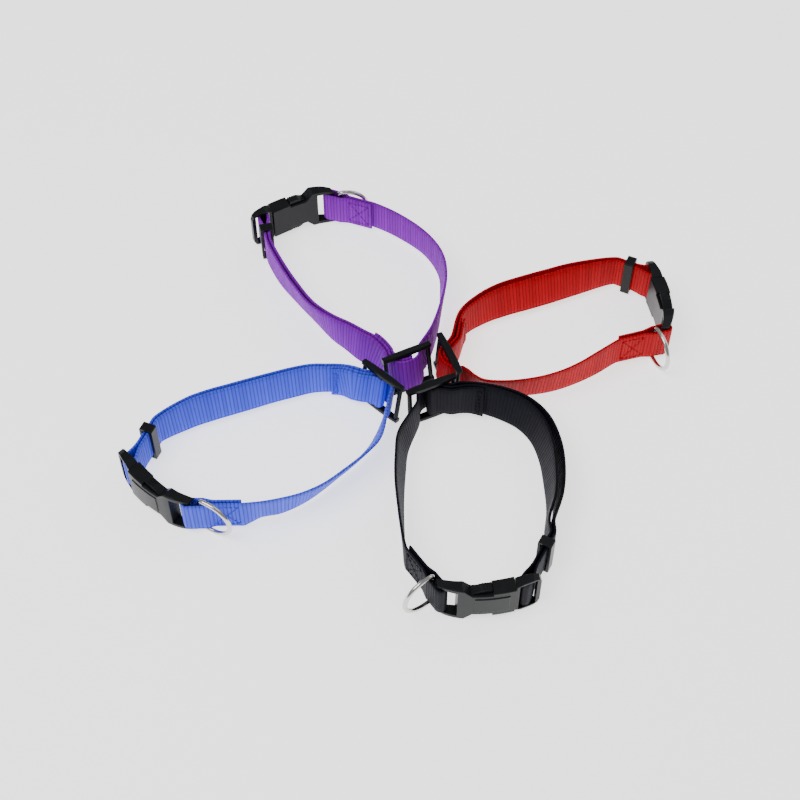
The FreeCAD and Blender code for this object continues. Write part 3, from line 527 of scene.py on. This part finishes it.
def makeGrainGroup():
    # fine mould texture and faint handling marks on the plastic and the metal
    group = bpy.data.node_groups.new("surfaceGrain", "ShaderNodeTree")
    for name, start in (("Grain scale", 1500.0), ("Mark scale", 90.0)):
        socket = group.interface.new_socket(name=name, in_out="INPUT", socket_type="NodeSocketFloat")
        socket.default_value = start
    for name in ("Grain", "Marks"):
        group.interface.new_socket(name=name, in_out="OUTPUT", socket_type="NodeSocketFloat")
    entry = group.nodes.new("NodeGroupInput")
    leave = group.nodes.new("NodeGroupOutput")
    place = group.nodes.new("ShaderNodeTexCoord")
    grain = addNode(group, "ShaderNodeTexNoise", Detail=4.0, Roughness=0.6)
    marks = addNode(group, "ShaderNodeTexNoise", Detail=6.0, Roughness=0.7, Distortion=1.5)
    for node, scale in ((grain, "Grain scale"), (marks, "Mark scale")):
        joinSockets(group, place.outputs["Object"], node.inputs["Vector"])
        joinSockets(group, entry.outputs[scale], node.inputs["Scale"])
    joinSockets(group, grain.outputs[0], leave.inputs["Grain"])
    joinSockets(group, marks.outputs[0], leave.inputs["Marks"])
    return group


def makeEdgeGroup():
    # softened corners, and a mask of where hands and rubbing have polished them
    group = bpy.data.node_groups.new("softEdges", "ShaderNodeTree")
    radius = group.interface.new_socket(name="Radius", in_out="INPUT", socket_type="NodeSocketFloat")
    radius.default_value = 0.0004
    group.interface.new_socket(name="Normal", in_out="OUTPUT", socket_type="NodeSocketVector")
    group.interface.new_socket(name="Wear", in_out="OUTPUT", socket_type="NodeSocketFloat")
    entry = group.nodes.new("NodeGroupInput")
    leave = group.nodes.new("NodeGroupOutput")
    bevel = group.nodes.new("ShaderNodeBevel")
    bevel.samples = 4
    joinSockets(group, entry.outputs["Radius"], bevel.inputs["Radius"])
    joinSockets(group, bevel.outputs[0], leave.inputs["Normal"])
    plain = group.nodes.new("ShaderNodeNewGeometry")
    likeness = group.nodes.new("ShaderNodeVectorMath")
    likeness.operation = "DOT_PRODUCT"
    joinSockets(group, bevel.outputs[0], likeness.inputs[0])
    joinSockets(group, plain.outputs["Normal"], likeness.inputs[1])
    turned = mathNode(group, "SUBTRACT", 1.0, likeness.outputs["Value"])
    wear = mathNode(group, "MINIMUM", mathNode(group, "MULTIPLY", turned, 4.0), 1.0)
    joinSockets(group, wear, leave.inputs["Wear"])
    return group


weaveGroup = makeWeaveGroup()
grainGroup = makeGrainGroup()
edgeGroup = makeEdgeGroup()

# deep is the dye's dark tone; the webbing also mixes it in as painted shade in the rib grooves
webbingColours = {
    "blue": {
        "bright": (0.085, 0.12, 1.0), "deep": (0.01, 0.016, 0.42),
        "sheen": 0.05, "tint": (0.5, 0.55, 1),
    },
    "violet": {
        "bright": (0.27, 0.0, 0.52), "deep": (0.08, 0.0, 0.18),
        "sheen": 0.05, "tint": (0.9, 0.4, 1),
    },
    "red": {
        "bright": (0.52, 0.0, 0.008), "deep": (0.17, 0.0, 0.002),
        "sheen": 0.05, "tint": (1, 0.5, 0.5),
    },
    "black": {
        "bright": (0.0065, 0.0066, 0.0125), "deep": (0.0012, 0.0012, 0.003),
        "sheen": 0.02, "tint": (0.6, 0.6, 0.9),
    },
}


def newMaterial(name):
    material = bpy.data.materials.new(name)
    material.use_nodes = True
    tree = material.node_tree
    return material, tree, tree.nodes["Principled BSDF"]


def mixColours(tree, factor, first, second):
    node = tree.nodes.new("ShaderNodeMix")
    node.data_type = "RGBA"
    joinSockets(tree, factor, node.inputs[0])
    for socket, content in ((node.inputs[6], first), (node.inputs[7], second)):
        if isinstance(content, tuple):
            socket.default_value = content + (1,)
        else:
            joinSockets(tree, content, socket)
    return node.outputs[2]


def webbingMaterial(colour, thread=False):
    look = webbingColours[colour]
    material, tree, shader = newMaterial(colour + ("Thread" if thread else "Webbing"))
    if thread:
        grain = tree.nodes.new("ShaderNodeGroup")
        grain.node_tree = grainGroup
        grain.inputs["Grain scale"].default_value = 2500
        twisted = mixColours(tree, grain.outputs["Grain"], look["deep"], look["bright"])
        joinSockets(tree, twisted, shader.inputs["Base Color"])
        height, strength = grain.outputs["Grain"], 0.25
    else:
        weave = tree.nodes.new("ShaderNodeGroup")
        weave.node_tree = weaveGroup
        dim = tuple(0.72 * c for c in look["bright"])
        light = tuple(min(1, 1.12 * c) for c in look["bright"])
        lively = mixColours(tree, weave.outputs["Unevenness"], dim, light)
        # painted shade: the rib grooves are mixed towards the deep colour
        paintedGrooveShade = mathNode(tree, "MULTIPLY", weave.outputs["PaintedGrooveShade"], 0.85)
        shaded = mixColours(tree, paintedGrooveShade, lively, look["deep"])
        selvedge = mathNode(tree, "MULTIPLY", weave.outputs["Selvedge"], 0.35)
        lined = mixColours(tree, selvedge, shaded, look["deep"])
        joinSockets(tree, lined, shader.inputs["Base Color"])
        height, strength = weave.outputs["Height"], 0.45
    bump = tree.nodes.new("ShaderNodeBump")
    bump.inputs["Strength"].default_value = strength
    bump.inputs["Distance"].default_value = 0.0002
    joinSockets(tree, height, bump.inputs["Height"])
    joinSockets(tree, bump.outputs[0], shader.inputs["Normal"])
    shader.inputs["Roughness"].default_value = 0.55
    shader.inputs["Specular IOR Level"].default_value = 0.08
    shader.inputs["Sheen Weight"].default_value = look["sheen"]
    shader.inputs["Sheen Roughness"].default_value = 0.4
    shader.inputs["Sheen Tint"].default_value = look["tint"] + (1,)
    return material


plastic = {
    "colour": (0.006, 0.0066, 0.0078), "worn": (0.015, 0.0165, 0.018), "edge": (0.05, 0.052, 0.055),
    "roughLow": 0.24, "roughHigh": 0.42,
}


def plasticMaterial():
    material, tree, shader = newMaterial("fittingPlastic")
    grain = tree.nodes.new("ShaderNodeGroup")
    grain.node_tree = grainGroup
    edges = tree.nodes.new("ShaderNodeGroup")
    edges.node_tree = edgeGroup
    edges.inputs["Radius"].default_value = 0.00045
    rubbed = mathNode(tree, "MULTIPLY", edges.outputs["Wear"], grain.outputs["Marks"])
    marked = mathNode(tree, "POWER", grain.outputs["Marks"], 2.0)
    base = mixColours(tree, marked, plastic["colour"], plastic["worn"])
    joinSockets(tree, mixColours(tree, rubbed, base, plastic["edge"]), shader.inputs["Base Color"])
    spread = tree.nodes.new("ShaderNodeMapRange")
    spread.inputs["To Min"].default_value = plastic["roughLow"]
    spread.inputs["To Max"].default_value = plastic["roughHigh"]
    joinSockets(tree, grain.outputs["Marks"], spread.inputs["Value"])
    joinSockets(tree, spread.outputs[0], shader.inputs["Roughness"])
    bump = tree.nodes.new("ShaderNodeBump")
    bump.inputs["Strength"].default_value = 0.18
    bump.inputs["Distance"].default_value = 0.0001
    joinSockets(tree, grain.outputs["Grain"], bump.inputs["Height"])
    joinSockets(tree, edges.outputs["Normal"], bump.inputs["Normal"])
    joinSockets(tree, bump.outputs[0], shader.inputs["Normal"])
    shader.inputs["Specular IOR Level"].default_value = 0.15
    return material


nickel = {"colour": (0.66, 0.64, 0.61), "dull": (0.42, 0.41, 0.39), "roughLow": 0.12, "roughHigh": 0.3}


def nickelMaterial():
    material, tree, shader = newMaterial("nickelPlate")
    grain = tree.nodes.new("ShaderNodeGroup")
    grain.node_tree = grainGroup
    grain.inputs["Mark scale"].default_value = 220
    marked = mathNode(tree, "POWER", grain.outputs["Marks"], 2.5)
    plated = mixColours(tree, marked, nickel["colour"], nickel["dull"])
    joinSockets(tree, plated, shader.inputs["Base Color"])
    spread = tree.nodes.new("ShaderNodeMapRange")
    spread.inputs["To Min"].default_value = nickel["roughLow"]
    spread.inputs["To Max"].default_value = nickel["roughHigh"]
    joinSockets(tree, grain.outputs["Marks"], spread.inputs["Value"])
    joinSockets(tree, spread.outputs[0], shader.inputs["Roughness"])
    shader.inputs["Metallic"].default_value = 1
    return material


# build the collars
plasticLook = plasticMaterial()
nickelLook = nickelMaterial()
print("plastic and nickel made")


def dressNode(name, material):
    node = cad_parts[name]
    if not node.material_slots:
        node.data.materials.append(material)
    for slot in node.material_slots:
        slot.material = material


for colour, collar in collars.items():
    routes = bandRoutes(collar)
    webbingLook = webbingMaterial(colour)
    threadLook = webbingMaterial(colour, thread=True)
    main, mainLength = bandMesh(colour + "_webbing", routes["main"])
    loop, loopLength = bandMesh(colour + "_webbing_loop", routes["loop"], mainLength)
    tail, tailLength = bandMesh(colour + "_webbing_tail", routes["tail"], mainLength + loopLength)
    for piece in (main, tail, loop):
        piece.data.materials.append(webbingLook)
    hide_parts(colour + "_strap_main")
    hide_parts(colour + "_strap_tail")
    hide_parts(colour + "_strap_plug_loop")
    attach(main, "collars")
    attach(tail, "collars")
    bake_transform(loop)
    side, bothFaces = collar["side"], (layerStep / 2, -layerStep / 2)
    boxFrom, boxTo = sizes["fold"] * 0.48, sizes["fold"] - 1.5
    ringSewing = stitchMesh(colour + "_ring_sewing", routes["sewn"], side, boxFrom, boxTo, bothFaces)
    boxTo = sizes["tailFold"] - sizes["slideHalf"] + 6.5
    tailSewing = stitchMesh(colour + "_tail_sewing", routes["doubled"], side, 10, boxTo, (-layerStep * 1.5,))
    for sewn, node in ((ringSewing, "_ring_stitch"), (tailSewing, "_tail_stitch")):
        sewn.data.materials.append(threadLook)
        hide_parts(colour + node)
        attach(sewn, "collars")
    for part in ("socket", "plug", "prong_upper", "prong_lower", "keeper", "slide"):
        dressNode(colour + "_" + part, plasticLook)
    dressNode(colour + "_d_ring", nickelLook)
    print(colour, "collar built, band", round(mainLength + loopLength + tailLength), "mm")

# the floor and the light
studio = {"floor": (0.97, 0.97, 0.97), "reach": 60, "glow": 1.5, "world": 0.34, "key": 9.0, "fill": 3.0}


def makeFloor():
    mesh = bpy.data.meshes.new("studioFloor")
    reach, drop = studio["reach"], -0.0002
    corners = [(-reach, -reach, drop), (reach, -reach, drop), (reach, reach, drop), (-reach, reach, drop)]
    mesh.from_pydata(corners, [], [(0, 1, 2, 3)])
    floor = bpy.data.objects.new("studioFloor", mesh)
    bpy.context.scene.collection.objects.link(floor)
    material, tree, shader = newMaterial("paleFloor")
    shader.inputs["Base Color"].default_value = studio["floor"] + (1,)
    shader.inputs["Roughness"].default_value = 0.9
    shader.inputs["Emission Color"].default_value = (1, 1, 1, 1)
    shader.inputs["Emission Strength"].default_value = studio["glow"]
    floor.data.materials.append(material)


def addSoftbox(name, place, target, size, power):
    data = bpy.data.lights.new(name, "AREA")
    data.shape = "RECTANGLE"
    data.size, data.size_y = size
    data.energy = power
    lamp = bpy.data.objects.new(name, data)
    lamp.location = place
    lamp.rotation_euler = (Vector(target) - Vector(place)).to_track_quat("-Z", "Y").to_euler()
    bpy.context.scene.collection.objects.link(lamp)


makeFloor()
world = bpy.data.worlds.new("studioWorld")
bpy.context.scene.world = world
world.use_nodes = True
world.node_tree.nodes["Background"].inputs[0].default_value = (1, 1, 1, 1)
world.node_tree.nodes["Background"].inputs[1].default_value = studio["world"]
addSoftbox("keyLight", (-0.5, -0.3, 1.1), (0, 0, 0), (0.7, 0.7), studio["key"])
addSoftbox("fillLight", (0.7, 0.4, 0.9), (0, 0, 0), (0.8, 0.8), studio["fill"])
print("studio lit")
